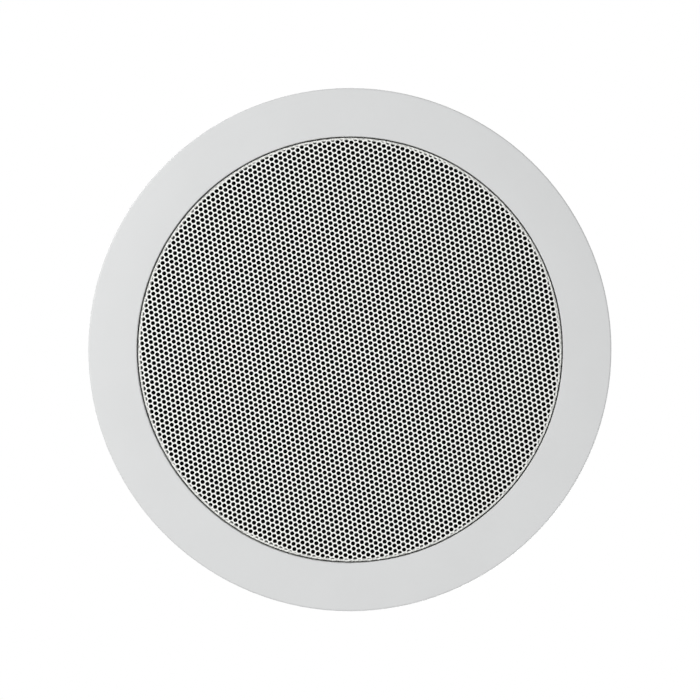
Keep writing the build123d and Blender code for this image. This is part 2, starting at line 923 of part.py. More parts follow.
def clamp_dog():
    """Clamp arm with a hub and a toe, stowed along the tower."""
    toe = dog_reach - dog_toe_length
    side = polygon(
        (-dog_hub_radius, 0),
        (dog_hub_radius, 0),
        (dog_hub_radius + dog_relief, dog_relief),
        (toe - dog_relief, dog_relief),
        (toe, 0),
        (dog_reach, 0),
        (dog_reach, dog_tip_height),
        (dog_hub_radius, dog_hub_height),
        (-dog_hub_radius, dog_hub_height),
    )
    hub = Circle(dog_hub_radius)
    tip = Pos(dog_reach - dog_hub_radius, 0) * hub
    plan = make_hull([*hub.edges(), *tip.edges()])
    arm = extrude(Plane.XZ * side, dog_hub_radius, both=True) & extrude(plan, dog_hub_height)
    arm = chamfer(arm.edges().group_by(Axis.Z)[-1], dog_edge)
    arm -= rod(dog_bore, 0, dog_hub_height)
    return Pos(0, 0, dog_bottom) * Rot(0, 0, -90) * arm


def crossover_board():
    """Circuit board on its two bosses."""
    body = slab(
        (-board_width / 2, board_width / 2), (-board_outer, -board_inner), (board_front, board_back)
    )
    body = fillet(body.edges().filter_by(Axis.Z), board_corner_radius)
    screw_hole = rod(screw_hole_radius, board_front, board_back)
    return body.cut(*[place * screw_hole for place in board_screw_places])


def inductor_bobbin():
    """Spool of the air-core coil."""
    outline = polygon(
        (bobbin_bore_radius, 0),
        (bobbin_radius, 0),
        (bobbin_radius, bobbin_flange),
        (bobbin_core_radius, bobbin_flange),
        (bobbin_core_radius, bobbin_height - bobbin_flange),
        (bobbin_radius, bobbin_height - bobbin_flange),
        (bobbin_radius, bobbin_height),
        (bobbin_bore_radius, bobbin_height),
    )
    return Pos(bobbin_x, bobbin_y, board_back) * turned(outline)


def inductor_winding():
    """Copper winding on the spool."""
    body = ring(
        bobbin_core_radius, bobbin_radius - coil_margin, bobbin_flange, bobbin_height - bobbin_flange
    )
    return Pos(bobbin_x, bobbin_y, board_back) * body


def film_capacitor():
    """Box capacitor."""
    body = slab(
        (film_x - film_width / 2, film_x + film_width / 2),
        (film_outer_y, film_inner_y),
        (board_back, board_back + film_height),
    )
    body = fillet(body.edges().filter_by(Axis.Z), film_edge_radius)
    return fillet(body.edges().group_by(Axis.Z)[-1], film_edge_radius / 2)


def electrolytic_capacitor():
    """Round can with the groove that crimps it."""
    outline = polygon(
        (0, 0),
        (can_radius, 0),
        (can_radius, can_groove_height - can_groove),
        (can_radius - can_groove, can_groove_height),
        (can_radius, can_groove_height + can_groove),
        (can_radius, can_height),
        (0, can_height),
    )
    outline = corner_round(outline, (can_radius, can_height), can_groove)
    return Pos(can_x, can_y, board_back) * turned(outline)


def cement_resistor():
    """Wirewound resistor in a ceramic trough."""
    body = slab(
        (resistor_left, resistor_right),
        (resistor_y - resistor_width / 2, resistor_y + resistor_width / 2),
        (board_back, board_back + resistor_height),
    )
    return chamfer(body.edges().group_by(Axis.Z)[-1], resistor_edge)


def terminal_block():
    """Moulded block with two wire entries and the slots of two levers."""
    body = slab(
        (terminal_place - terminal_width / 2, terminal_place + terminal_width / 2),
        (terminal_outer_y, terminal_inner_y),
        (board_back, terminal_top),
    )
    body = fillet(body.edges().filter_by(Axis.Z), terminal_edge)
    half = lever_width / 2 + lever_clearance
    reach = lever_radius + lever_clearance
    slot = slab((-half, half), (-reach - lever_length, reach), (-reach, lever_depth))
    pin_half = half + lever_pin_length
    pin = Rot(0, 90, 0) * Cylinder(lever_pin_radius + lever_pin_clearance, 2 * pin_half)
    entry = rod(wire_radius, -wire_depth, 0)
    tools = [place * tool for place in lever_places.values() for tool in (slot, pin)]
    return body.cut(*tools, *[place * entry for place in wire_places])


def terminal_lever(colour):
    """Sprung lever with its two pivot pins, standing up at rest."""
    side = Pos(-lever_length / 2, 0) * SlotCenterToCenter(lever_length, 2 * lever_radius)
    body = extrude(Plane.YZ * side, lever_width / 2, both=True)
    pin_half = lever_width / 2 + lever_pin_length
    body += Rot(0, 90, 0) * Cylinder(lever_pin_radius, 2 * pin_half)
    return lever_places[colour] * Rot(-lever_angle, 0, 0) * body


def tag_strip():
    """Fibre board on the basket's shelf that carries the solder tags."""
    width = (-strip_width / 2, strip_width / 2)
    return slab(width, (strip_outer_y, strip_inner_y), (shelf_back, strip_back))


def solder_tags():
    """Two tinned tags, each with an eye at its free end."""
    tags = []
    for side in (-1, 1):
        length = (tag_end_y, strip_outer_y + tag_hold)
        tag = slab((-tag_width / 2, tag_width / 2), length, (strip_back, tag_back))
        tag -= Pos(0, tag_end_y + tag_width / 2, 0) * rod(tag_eye_radius, strip_back, tag_back)
        tags.append(Pos(side * lead_spread, 0, 0) * tag)
    return group(tags)


def woofer_lead(side):
    """Lead from the board up to a solder tag."""
    top = tag_back + lead_radius
    points = [(0, lead_y, board_back), (0, lead_y, top), (0, strip_outer_y, top)]
    return Pos(side * lead_spread, 0, 0) * cable(points, lead_radius, lead_bend)


def tinsel_leads():
    """Flexible leads from the tags to the back of the cone."""
    start = strip_outer_y - tinsel_radius - tinsel_gap
    level = strip_back - tinsel_drop
    foot_radius = hypot(tinsel_foot, lead_spread)
    rise = cone_thickness * hypot(1, cone_depth / (cone_radius - former_outer))
    foot = cone_front_at(foot_radius) + rise + tinsel_radius + tinsel_gap
    points = [
        (0, start, strip_back),
        (0, start, level),
        (0, -tinsel_foot - (level - foot), level),
        (0, -tinsel_foot, foot),
    ]
    body = cable(points, tinsel_radius, tinsel_bend)
    return group([Pos(side * lead_spread, 0, 0) * body for side in (-1, 1)])


def tweeter_lead():
    """Two-core lead from the board through the baffle and along the bridge to a trunnion."""
    stand = -boss_end - cable_stand
    points = [
        (0, cable_y, board_front),
        (0, cable_y, cable_height),
        (0, stand, cable_height),
        (0, stand, pivot_height),
        (0, -boss_end + pivot_end_gap - cable_groove_gap, pivot_height),
    ]
    return cable(points, cable_radius, [cable_bend, cable_rise_bend, cable_end_bend])


nodes = {
    "bezel": bezel(),
    "grille": grille(),
    "grille_scrim": grille_scrim(),
    "woofer_gasket": woofer_gasket(),
    "woofer_surround": woofer_surround(),
    "woofer_basket": woofer_basket(),
    "woofer_cone": woofer_cone(),
    "dust_cap": dust_cap(),
    "coil_former": coil_former(),
    "coil_winding": coil_winding(),
    "woofer_spider": woofer_spider(),
    "top_plate": top_plate(),
    "magnet": magnet(),
    "back_plate": back_plate(),
    "woofer_screws": woofer_screws(),
    "tweeter_bridge": tweeter_bridge(),
    "bridge_screws": bridge_screws(),
    "tweeter_housing": tweeter_housing(),
    "tweeter_faceplate": tweeter_faceplate(),
    "tweeter_dome": tweeter_dome(),
    "tweeter_coil": tweeter_coil(),
    "tweeter_pole_plate": tweeter_pole_plate(),
    "tweeter_magnet": tweeter_magnet(),
    "tweeter_yoke": tweeter_yoke(),
    "tweeter_lead": tweeter_lead(),
    "crossover_board": crossover_board(),
    "board_screws": board_screws(),
    "inductor_bobbin": inductor_bobbin(),
    "inductor_winding": inductor_winding(),
    "film_capacitor": film_capacitor(),
    "electrolytic_capacitor": electrolytic_capacitor(),
    "cement_resistor": cement_resistor(),
    "terminal_block": terminal_block(),
    "terminal_lever_red": terminal_lever("red"),
    "terminal_lever_black": terminal_lever("black"),
    "tag_strip": tag_strip(),
    "solder_tags": solder_tags(),
    "woofer_lead_red": woofer_lead(-1),
    "woofer_lead_black": woofer_lead(1),
    "tinsel_leads": tinsel_leads(),
}
for number, place in enumerate(clamp_places, start=1):
    nodes[f"clamp_screw_{number}"] = place * clamp_screw()
    nodes[f"clamp_insert_{number}"] = place * clamp_insert()
    nodes[f"clamp_dog_{number}"] = place * clamp_dog()

os.makedirs("parts", exist_ok=True)
for name, shape in nodes.items():
    export_step(shape, f"parts/{name}.step")
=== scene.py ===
import json
from math import copysign, cos, hypot, pi, radians, sin

import bmesh
import bpy
import numpy as np
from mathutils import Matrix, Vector, geometry


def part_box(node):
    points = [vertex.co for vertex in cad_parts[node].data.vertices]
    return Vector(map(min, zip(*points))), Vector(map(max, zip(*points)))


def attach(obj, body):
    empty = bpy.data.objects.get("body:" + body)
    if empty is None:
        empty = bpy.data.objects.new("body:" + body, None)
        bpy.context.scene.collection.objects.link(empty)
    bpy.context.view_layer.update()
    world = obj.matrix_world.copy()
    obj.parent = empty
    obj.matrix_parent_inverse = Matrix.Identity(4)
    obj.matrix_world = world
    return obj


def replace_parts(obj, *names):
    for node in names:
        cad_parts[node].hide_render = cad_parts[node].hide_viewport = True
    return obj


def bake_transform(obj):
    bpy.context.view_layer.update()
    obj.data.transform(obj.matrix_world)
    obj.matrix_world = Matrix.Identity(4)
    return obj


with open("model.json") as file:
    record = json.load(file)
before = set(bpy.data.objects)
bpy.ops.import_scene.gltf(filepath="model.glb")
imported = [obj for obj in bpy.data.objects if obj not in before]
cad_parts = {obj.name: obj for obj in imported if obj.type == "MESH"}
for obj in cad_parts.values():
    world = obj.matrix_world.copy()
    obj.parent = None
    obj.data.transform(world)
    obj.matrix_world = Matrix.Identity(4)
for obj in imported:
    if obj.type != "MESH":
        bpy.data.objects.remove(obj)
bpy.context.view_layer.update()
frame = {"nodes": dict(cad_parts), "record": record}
nodes = frame["nodes"]
scene = bpy.context.scene

# In-ceiling loudspeaker, its front facing down. The frame and the materials are in metres, the sizes
# of the shapes in millimetres.
MM = 0.001

# Grille sheet: thickness, outer radius and length of its bend, points across the bend and round it
SHEET = 0.8
SHEET_BEND = 1.2
BEND_ARC = SHEET_BEND * pi / 2
BEND_SHARES = (0, 0.25, 0.5, 0.75, 1)
SHEET_SEGMENTS = 240

# Punched holes: two steps of the staggered pattern as length and degrees, how many steps are tried
# each way, the place of one hole, and the share of the turned edge that still has holes
HOLE_STEPS = ((2.381, 22.27), (2.406, 81.99))
HOLE_REACH = 60
HOLE_START = (0.656, 0.347)
HOLE_LIMIT = 0.9

# One hole: radius, corners at the front and at the back, flare at the back, and the least distance
# from it to a point of the turned edge
HOLE_RADIUS = 1.01
HOLE_SIDES = 8
HOLE_BACK_SIDES = 6
HOLE_BACK_FLARE = 1.08
HOLE_MARGIN = 0.1

# Scrim cloth: points outward and round, height of the ripples, ripples in a turn, and two lengths
# that they change over on the way outward
SCRIM_RINGS = 16
SCRIM_SEGMENTS = 144
RIPPLE = 0.03
RIPPLE_TURNS = 9
RIPPLE_LENGTHS = (5, 7)

# Surround: wall, the two feet of the half roll, a flat beside each foot, the inner lip and the slant
# of the lips' edges
SURROUND_WALL = 0.6
ROLL_INNER = 61.5
ROLL_OUTER = 72.5
ROLL_FOOT = 0.5
ROLL_STEPS = 29
LIP_INNER = 57.5
LIP_SLANT = 0.2

# Spider: cloth thickness, inner edge, and the corrugated stretch with its number of half waves
SPIDER_CLOTH = 0.4
SPIDER_INNER = 13.05
WAVES_START = 15.05
WAVES_END = 35.5
HALF_WAVES = 6
WAVE_STEPS = 61

# Points round the surround and the spider
FLEX_SEGMENTS = 180

# Tinsel leads: route as y and z, places to either side, and radius
TINSEL_ROUTE = ((-50.9, 43.0), (-50.9, 33.0), (-29.9, 33.0), (-26.0, 29.1))
TINSEL_SIDES = (-8.0, 8.0)
TINSEL_RADIUS = 0.6

# Points of a lead that are closer than WELD are one point, and a length under NIL counts as nothing
WELD = 0.001
NIL = 0.000001

# Clamp screws: pan head, upright and domed shares of its height, share of its radius where the
# underside starts, and the shank
HEAD_RADIUS = 3.6
HEAD_HEIGHT = 2.6
HEAD_UPRIGHT = 0.45
HEAD_DOME = 1 - HEAD_UPRIGHT
HEAD_STEPS = 4
HEAD_NECK = 0.62
SHANK_RADIUS = 2.0
SHANK_TIP = 0.6
SCREW_COLUMNS = 24

# Their thread: rows of points in a pitch, width of the crest, slope of the flanks, plain length under
# the head and the length over which the thread sets in
THREAD_PITCH = 1.5
THREAD_DEPTH = 0.36
THREAD_ROWS = 8
THREAD_CREST = 1.35
THREAD_SLOPE = 3.4
THREAD_START = 2.6
THREAD_FADE = 1.0

# Their cross recess, as shares of the head's radius and height
RECESS_REACH = 0.62
RECESS_HALF = 0.13
RECESS_DEPTH = 0.5

# Any cross cut: how far the cutter stands out, and the share of its width that is left at its end
CUT_OVER = 0.2
CUT_TAPER = 0.7

# Inductor: inner radius, turns in a layer, the bow of a turn in radians either way, and its points
COIL_INNER = 5.0
COIL_TURNS = 12
TURN_BOW = 1.2
TURN_STEPS = 7
COIL_SEGMENTS = 96

# Electrolytic capacitor: foot, crimp groove and its height, curl and width of the sleeve's edge, the
# bare end sunk inside it, and the shares of the radius that the flat caps have
CAN_FOOT = 0.3
CAN_CRIMP = 0.45
CAN_CRIMP_HEIGHT = 2.6
CRIMP_STEPS = 9
CAN_CURL = 0.5
CURL_STEPS = 6
CAN_RIM = 0.9
CAN_RIM_SLANT = 0.05
CAN_SUNK = 0.15
CAN_CAPS = (0.5, 0.7)
CAN_SEGMENTS = 72

# Its cross-shaped vent: reach as a share of the radius, half width and depth
VENT_REACH = 0.6
VENT_HALF = 0.16
VENT_DEPTH = 0.25

# Edges sharper than these angles, in degrees, show as edges
SHARP_EDGE = 38.0
SHARP_SHEET = 30.0
SHARP_WIRE = 60.0

# Camera: lens and sensor, radius of the bezel's rim in the picture and half the picture in pixels,
# height of that rim, place of the camera beside the axis, and how far it sees, in metres
LENS = 135.0
SENSOR = 36.0
RIM_PIXELS = 261.5
HALF_FRAME = 350.0
RIM_FRONT = -2.4
OFF_CENTRE = (-0.064, -0.164)
CLIP_END = 20.0

# Lamps: place in metres, power in watts, size in metres
LAMPS = {
    "front_left": ((0.78, 0.31, -0.82), 8.3, 0.8),
    "front_right": ((-0.45, -0.55, -0.8), 2.2, 0.5),
    "above": ((-0.7, -0.9, 1.3), 18.0, 1.2),
    "above_back": ((1.0, 0.8, 1.0), 9.0, 1.0),
}

# Stage: strength of the light from all round, and the paper floor in metres with its two greys, its
# roughness and the share of its own glow that the camera sees
WORLD_FILL = 0.38
FLOOR_RADIUS = 7.0
FLOOR_SEGMENTS = 96
FLOOR_HEIGHT = -1.7
PAPER_GREYS = (0.84, 0.86)
PAPER_ROUGH = 0.9
PAPER_GLOW = 0.975


# Materials

# Noise lies mostly in this span, and a wave texture of scale 1 repeats after this length
NOISE_SPAN = (0.3, 0.7)
WAVE_LENGTH = 2 * pi / 20

# Colour, roughness, scale and depth of the grain, spread of the tone
MOULDED = {
    "white_plastic": ((0.694, 0.702, 0.703), 0.50, 3200.0, 0.00002, 0.012),
    "white_paint": ((0.945, 0.950, 0.920), 0.42, 5200.0, 0.00001, 0.012),
    "black_plastic": ((0.020, 0.020, 0.021), 0.48, 2400.0, 0.00004, 0.15),
    "red_plastic": ((0.46, 0.018, 0.016), 0.34, 2400.0, 0.00002, 0.06),
    "surround_rubber": ((0.016, 0.016, 0.017), 0.62, 1800.0, 0.00003, 0.10),
    "black_steel": ((0.018, 0.018, 0.019), 0.36, 1500.0, 0.00003, 0.15),
    "film_case": ((0.50, 0.085, 0.022), 0.30, 900.0, 0.00005, 0.12),
    "bobbin": ((0.62, 0.60, 0.54), 0.45, 1800.0, 0.00003, 0.05),
    "lead_red": ((0.42, 0.016, 0.014), 0.36, 900.0, 0.00002, 0.08),
    "lead_black": ((0.018, 0.018, 0.018), 0.38, 900.0, 0.00002, 0.12),
}

# Colour, roughness, scale of the scratches, spread of the tone, distance of the turning marks
PLATED = {
    "former_metal": ((0.78, 0.78, 0.79), 0.35, 900.0, 0.10, 0.0),
    "copper": ((0.72, 0.30, 0.13), 0.30, 1500.0, 0.16, 0.0),
    "zinc_steel": ((0.50, 0.495, 0.48), 0.34, 900.0, 0.05, 0.0008),
    "brass": ((0.76, 0.55, 0.22), 0.30, 1200.0, 0.10, 0.0006),
    "tinned": ((0.72, 0.72, 0.71), 0.38, 700.0, 0.12, 0.0),
}

# Colour, distance of the threads, roughness, spread of the tone, depth of the weave
WOVEN = {
    "black_cloth": ((0.0045, 0.0045, 0.0048), 0.0007, 0.9, 0.6, 0.00012),
    "spider_cloth": ((0.50, 0.30, 0.075), 0.0009, 0.75, 0.4, 0.00012),
    "dome_silk": ((0.020, 0.020, 0.022), 0.0004, 0.5, 0.3, 0.00004),
}

# Colour, roughness, scale of the grains, depth of the pits
SPECKLED = {
    "foam": ((0.035, 0.035, 0.036), 0.85, 900.0, 0.00005),
    "cone_plastic": ((0.045, 0.046, 0.050), 0.42, 900.0, 0.00005),
    "ferrite": ((0.030, 0.030, 0.032), 0.44, 2400.0, 0.000008),
    "ceramic": ((0.70, 0.67, 0.59), 0.75, 900.0, 0.00005),
    "fibre": ((0.19, 0.085, 0.032), 0.55, 900.0, 0.00005),
}

# Further shader values of single materials
EXTRAS = {
    "black_cloth": {"Specular IOR Level": 0.0, "Sheen Weight": 0.12, "Sheen Roughness": 0.35},
    "cone_plastic": {"Coat Weight": 0.1},
    "copper": {"Coat Weight": 0.5},
    "film_case": {"Coat Weight": 0.4},
    "bobbin": {"Subsurface Weight": 0.1},
    "board": {"Coat Weight": 0.35, "Coat Roughness": 0.2},
    "can_sleeve": {"Coat Weight": 0.3, "Coat Roughness": 0.25},
}


def put(tree, kind, inputs=None, **settings):
    """A shader node. An input is a number, a colour or the output of another node."""
    made = tree.nodes.new(kind)
    for name, value in settings.items():
        setattr(made, name, value)
    for name, value in (inputs or {}).items():
        if isinstance(value, bpy.types.NodeSocket):
            tree.links.new(value, made.inputs[name])
        else:
            made.inputs[name].default_value = value
    return made


def new_material(name, fixed=None):
    """A material with the shader values that are the same all over it."""
    made = bpy.data.materials.new(name)
    made.use_nodes = True
    shader = made.node_tree.nodes["Principled BSDF"]
    for socket, value in {**(fixed or {}), **EXTRAS.get(name, {})}.items():
        shader.inputs[socket].default_value = value
    return made, made.node_tree, shader


def feed(tree, shader, socket, value):
    """Let a value drive a socket of the shader."""
    tree.links.new(value, shader.inputs[socket])


def place_of(tree, stretch=(1.0, 1.0, 1.0)):
    """Coordinates on the object, stretched along its axes."""
    where = put(tree, "ShaderNodeTexCoord").outputs["Object"]
    return put(tree, "ShaderNodeMapping", {"Vector": where, "Scale": stretch}).outputs["Vector"]


def noise(tree, where, scale, detail=3.0):
    """Cloudy noise."""
    inputs = {"Vector": where, "Scale": scale, "Detail": detail}
    return put(tree, "ShaderNodeTexNoise", inputs).outputs["Fac"]


def bands(tree, where, period, direction, kind="BANDS", distortion=0.0):
    """Evenly spaced bands or rings, a period in metres apart."""
    inputs = {
        "Vector": where,
        "Scale": WAVE_LENGTH / period,
        "Distortion": distortion,
        "Detail Scale": 0.5,
    }
    wave = put(tree, "ShaderNodeTexWave", inputs, wave_type=kind)
    if kind == "BANDS":
        wave.bands_direction = direction
    else:
        wave.rings_direction = direction
    return wave.outputs["Fac"]


def combine(tree, operation, first, second):
    """One value from two."""
    return put(tree, "ShaderNodeMath", {0: first, 1: second}, operation=operation).outputs["Value"]


def between(tree, value, low, high, source=(0.0, 1.0)):
    """A value moved from one range to another."""
    inputs = {
        "Value": value,
        "From Min": source[0],
        "From Max": source[1],
        "To Min": low,
        "To Max": high,
    }
    return put(tree, "ShaderNodeMapRange", inputs).outputs["Result"]


def around(tree, value, middle, play):
    """A noise moved to some play either way of a middle value."""
    return between(tree, value, middle - play, middle + play, NOISE_SPAN)


def shades(tree, value, low, high, limits=NOISE_SPAN):
    """A colour between two, by a value."""
    ramp = put(tree, "ShaderNodeValToRGB", {"Fac": value})
    for stop, colour, at in zip(ramp.color_ramp.elements, (low, high), limits):
        stop.color = (*colour, 1.0)
        stop.position = at
    return ramp.outputs["Color"]


def scaled(colour, share):
    """A colour made darker or lighter."""
    return [min(1.0, part * share) for part in colour]


def toned(tree, value, colour, spread, limits=NOISE_SPAN):
    """A colour that a value makes darker and lighter by a spread."""
    return shades(tree, value, scaled(colour, 1 - spread), scaled(colour, 1 + spread), limits)


def raised(tree, shader, height, depth, strength):
    """Bump of a depth in metres."""
    bump = put(tree, "ShaderNodeBump", {"Height": height, "Distance": depth, "Strength": strength})
    feed(tree, shader, "Normal", bump.outputs["Normal"])


def moulded(name, colour, rough, grain, depth, spread):
    """Moulded plastic, rubber or paint: a fine grain, and a tone that drifts a little."""
    made, tree, shader = new_material(name)
    where = place_of(tree)
    fine = noise(tree, where, scale=grain, detail=2.0)
    drift = noise(tree, where, scale=35.0)
    feed(tree, shader, "Base Color", toned(tree, drift, colour, spread))
    feed(tree, shader, "Roughness", around(tree, fine, rough, play=0.06))
    raised(tree, shader, fine, depth, strength=0.6)
    return made


def plated(name, colour, rough, grain, spread, marks):
    """Bare or plated metal: cloudy tone, fine scratches, and turning marks where it was turned."""
    made, tree, shader = new_material(name, {"Metallic": 1.0})
    where = place_of(tree)
    cloud = noise(tree, where, scale=70.0, detail=4.0)
    fine = noise(tree, place_of(tree, stretch=(1.0, 1.0, 0.25)), scale=grain)
    feed(tree, shader, "Base Color", toned(tree, cloud, colour, spread))
    feed(tree, shader, "Roughness", around(tree, cloud, rough, play=spread))
    if marks:
        rings = bands(tree, where, marks, "Z", kind="RINGS", distortion=0.6)
        broken = combine(tree, "MULTIPLY", rings, fine)
        raised(tree, shader, broken, depth=0.00003, strength=0.7)
    else:
        raised(tree, shader, fine, depth=0.00001, strength=0.5)
    return made


def woven(name, colour, thread, rough, spread, depth):
    """Plain weave, its threads a distance apart."""
    made, tree, shader = new_material(name, {"Roughness": rough})
    where = place_of(tree)
    warp = bands(tree, where, thread, "X")
    weft = bands(tree, where, thread, "Y")
    weave = combine(tree, "MULTIPLY", warp, weft)
    fuzz = noise(tree, where, scale=1.5 / thread, detail=2.0)
    cloth = combine(tree, "MULTIPLY", weave, fuzz)
    feed(tree, shader, "Base Color", toned(tree, cloth, colour, spread, limits=(0.05, 0.5)))
    raised(tree, shader, weave, depth, strength=0.8)
    return made


def speckled(name, colour, rough, grains, depth):
    """Foamed, filled or fired stuff: grains of two tones and small pits."""
    made, tree, shader = new_material(name)
    where = place_of(tree)
    cells = put(tree, "ShaderNodeTexVoronoi", {"Vector": where, "Scale": grains}).outputs["Distance"]
    cloud = noise(tree, where, scale=120.0, detail=5.0)
    mixed = combine(tree, "MULTIPLY", cells, cloud)
    dark, light = scaled(colour, 0.78), scaled(colour, 1.25)
    feed(tree, shader, "Base Color", shades(tree, mixed, dark, light, limits=(0.1, 0.5)))
    feed(tree, shader, "Roughness", around(tree, cloud, rough, play=0.1))
    raised(tree, shader, mixed, depth, strength=0.5)
    return made


def stranded(name, colour, pitch, rough):
    """Metal braid: two sets of slanting strands, duller in the gaps."""
    made, tree, shader = new_material(name, {"Metallic": 1.0})
    left = bands(tree, place_of(tree, stretch=(1.0, 1.0, 0.7)), pitch, "DIAGONAL")
    right = bands(tree, place_of(tree, stretch=(-1.0, 1.0, 0.7)), pitch, "DIAGONAL")
    braid = combine(tree, "MAXIMUM", left, right)
    dark, light = scaled(colour, 0.45), scaled(colour, 1.15)
    feed(tree, shader, "Base Color", shades(tree, braid, dark, light, limits=(0.2, 0.9)))
    feed(tree, shader, "Roughness", between(tree, braid, rough + 0.1, rough - 0.1))
    raised(tree, shader, braid, depth=0.0001, strength=0.8)
    return made


def circuit_board(name, colour):
    """Solder mask with the copper tracks showing through it."""
    made, tree, shader = new_material(name)
    layout = {
        "Vector": place_of(tree, stretch=(1.0, 1.0, 0.0)),
        "Scale": 60.0,
        "Mortar Size": 0.045,
        "Mortar Smooth": 0.1,
        "Brick Width": 0.62,
        "Row Height": 0.27,
    }
    bricks = put(tree, "ShaderNodeTexBrick", layout, offset=0.37, squash=1.6, squash_frequency=3)
    tracks = bricks.outputs["Fac"]
    fine = noise(tree, place_of(tree), scale=1500.0)
    tone = shades(tree, tracks, colour, scaled(colour, 0.55), limits=(0.2, 0.8))
    feed(tree, shader, "Base Color", tone)
    feed(tree, shader, "Roughness", around(tree, fine, 0.40, play=0.06))
    raised(tree, shader, tracks, depth=0.00006, strength=0.4)
    return made


def sleeved_can(name, sleeve, metal):
    """Shrink sleeve round a can, whose bare end shows at the top."""
    low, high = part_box("electrolytic_capacitor")
    rim = CAN_RIM * MM
    made, tree, shader = new_material(name)
    here = put(tree, "ShaderNodeTexCoord").outputs["Object"]
    end = (-(low.x + high.x) / 2, -(low.y + high.y) / 2, -high.z)
    spot = put(tree, "ShaderNodeMapping", {"Vector": here, "Location": end}).outputs["Vector"]
    axes = put(tree, "ShaderNodeSeparateXYZ", {"Vector": spot}).outputs
    flat = put(tree, "ShaderNodeCombineXYZ", {"X": axes["X"], "Y": axes["Y"]}).outputs["Vector"]
    reach = put(tree, "ShaderNodeVectorMath", {0: flat}, operation="LENGTH").outputs["Value"]
    inside = combine(tree, "LESS_THAN", reach, (high.x - low.x) / 2 - rim)
    bare = combine(tree, "MULTIPLY", inside, combine(tree, "GREATER_THAN", axes["Z"], -rim))
    fine = noise(tree, here, scale=1800.0, detail=2.0)
    feed(tree, shader, "Base Color", shades(tree, bare, sleeve, metal, limits=(0.4, 0.6)))
    feed(tree, shader, "Metallic", bare)
    feed(tree, shader, "Roughness", around(tree, fine, 0.31, play=0.05))
    raised(tree, shader, fine, depth=0.00001, strength=0.6)
    return made


finishes = {
    "tinsel": stranded("tinsel", colour=(0.62, 0.36, 0.20), pitch=0.0006, rough=0.40),
    "board": circuit_board("board", colour=(0.020, 0.105, 0.045)),
    "can_sleeve": sleeved_can("can_sleeve", sleeve=(0.014, 0.026, 0.075), metal=(0.46, 0.46, 0.47)),
}
for maker, table in ((moulded, MOULDED), (plated, PLATED), (woven, WOVEN), (speckled, SPECKLED)):
    for slot, values in table.items():
        finishes[slot] = maker(slot, *values)

for part in frame["record"]["subparts"]:
    data = nodes[part["node"]].data
    data.materials.clear()
    data.materials.append(finishes[part["material_slot"]])


# Shapes


def add_piece(name, mesh, slot):
    """A piece that shows a mesh in one material."""
    mesh.materials.clear()
    mesh.materials.append(finishes[slot])
    piece = bpy.data.objects.new(name, mesh)
    scene.collection.objects.link(piece)
    return piece


def new_piece(name, points, faces, slot, sharp=SHARP_EDGE):
    """A piece from points in millimetres, smooth but for its sharp edges."""
    mesh = bpy.data.meshes.new(name)
    mesh.from_pydata((np.asarray(points, float) * MM).tolist(), [], faces)
    mesh.polygons.foreach_set("use_smooth", [True] * len(mesh.polygons))
    mesh.set_sharp_from_angle(angle=radians(sharp))
    return add_piece(name, mesh, slot)


def evaluated(item):
    """The mesh that an object's curve or modifiers make."""
    bpy.context.view_layer.update()
    return bpy.data.meshes.new_from_object(item.evaluated_get(bpy.context.evaluated_depsgraph_get()))


def upright(node):
    """Centre, radius, bottom and top of a round upright node, in millimetres."""
    low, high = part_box(node)
    centre = ((low.x + high.x) / 2 / MM, (low.y + high.y) / 2 / MM)
    return centre, (high.x - low.x) / 2 / MM, low.z / MM, high.z / MM


def unit_circle(count):
    """Points round a circle of radius 1."""
    turn = np.arange(count) * 2 * pi / count
    return np.stack((np.cos(turn), np.sin(turn)), axis=1)


def lathe(profile, segments, centre=(0.0, 0.0)):
    """Points and faces of a closed (radius, height) outline turned about an upright axis."""
    outline = np.asarray(profile, float)
    count = len(outline)
    circle = unit_circle(segments)
    x = centre[0] + np.outer(circle[:, 0], outline[:, 0])
    y = centre[1] + np.outer(circle[:, 1], outline[:, 0])
    z = np.tile(outline[:, 1], (segments, 1))
    points = np.stack((x, y, z), axis=2).reshape(-1, 3)
    faces = []
    for step in range(segments):
        here, there = step * count, (step + 1) % segments * count
        for edge in range(count):
            after = (edge + 1) % count
            faces.append((here + edge, there + edge, there + after, here + after))
    return points, faces


def capped(profile, segments, centre=(0.0, 0.0)):
    """Like lathe, for an outline that is open at the axis, with a flat cap on each of its ends."""
    points, faces = lathe(profile, segments, centre)
    count = len(profile)
    faces = [face for face in faces if {face[0] % count, face[3] % count} != {0, count - 1}]
    first = [step * count for step in range(segments)]
    last = [step * count + count - 1 for step in range(segments)]
    return points, [*faces, first[::-1], last]


def hole_centres(limit):
    """Places of the holes on the flat blank, up to a radius."""
    steps = [size * np.array((cos(radians(turn)), sin(radians(turn)))) for size, turn in HOLE_STEPS]
    start = np.array(HOLE_START)
    reach = range(-HOLE_REACH, HOLE_REACH + 1)
    centres = np.array([start + i * steps[0] + j * steps[1] for i in reach for j in reach])
    return centres[np.hypot(centres[:, 0], centres[:, 1]) < limit]


def flat_face(centres, rest, sides, radius):
    """Points and triangles of one face of the flat blank, with a hole round each centre."""
    hole = unit_circle(sides) * radius
    flat = np.vstack(((centres[:, None] + hole).reshape(-1, 2), rest))
    count = len(centres) * sides
    edges = [(k + i, k + (i + 1) % sides) for k in range(0, count, sides) for i in range(sides)]
    corners = [Vector(point) for point in flat]
    triangles = np.array(geometry.delaunay_2d_cdt(corners, edges, [], 0, NIL, False)[2])
    # A triangle whose corners all belong to one hole lies in that hole
    owner = np.where(triangles < count, triangles // sides, -1 - triangles)
    in_hole = (owner[:, 0] == owner[:, 1]) & (owner[:, 1] == owner[:, 2])
    return flat, triangles[~in_hole]


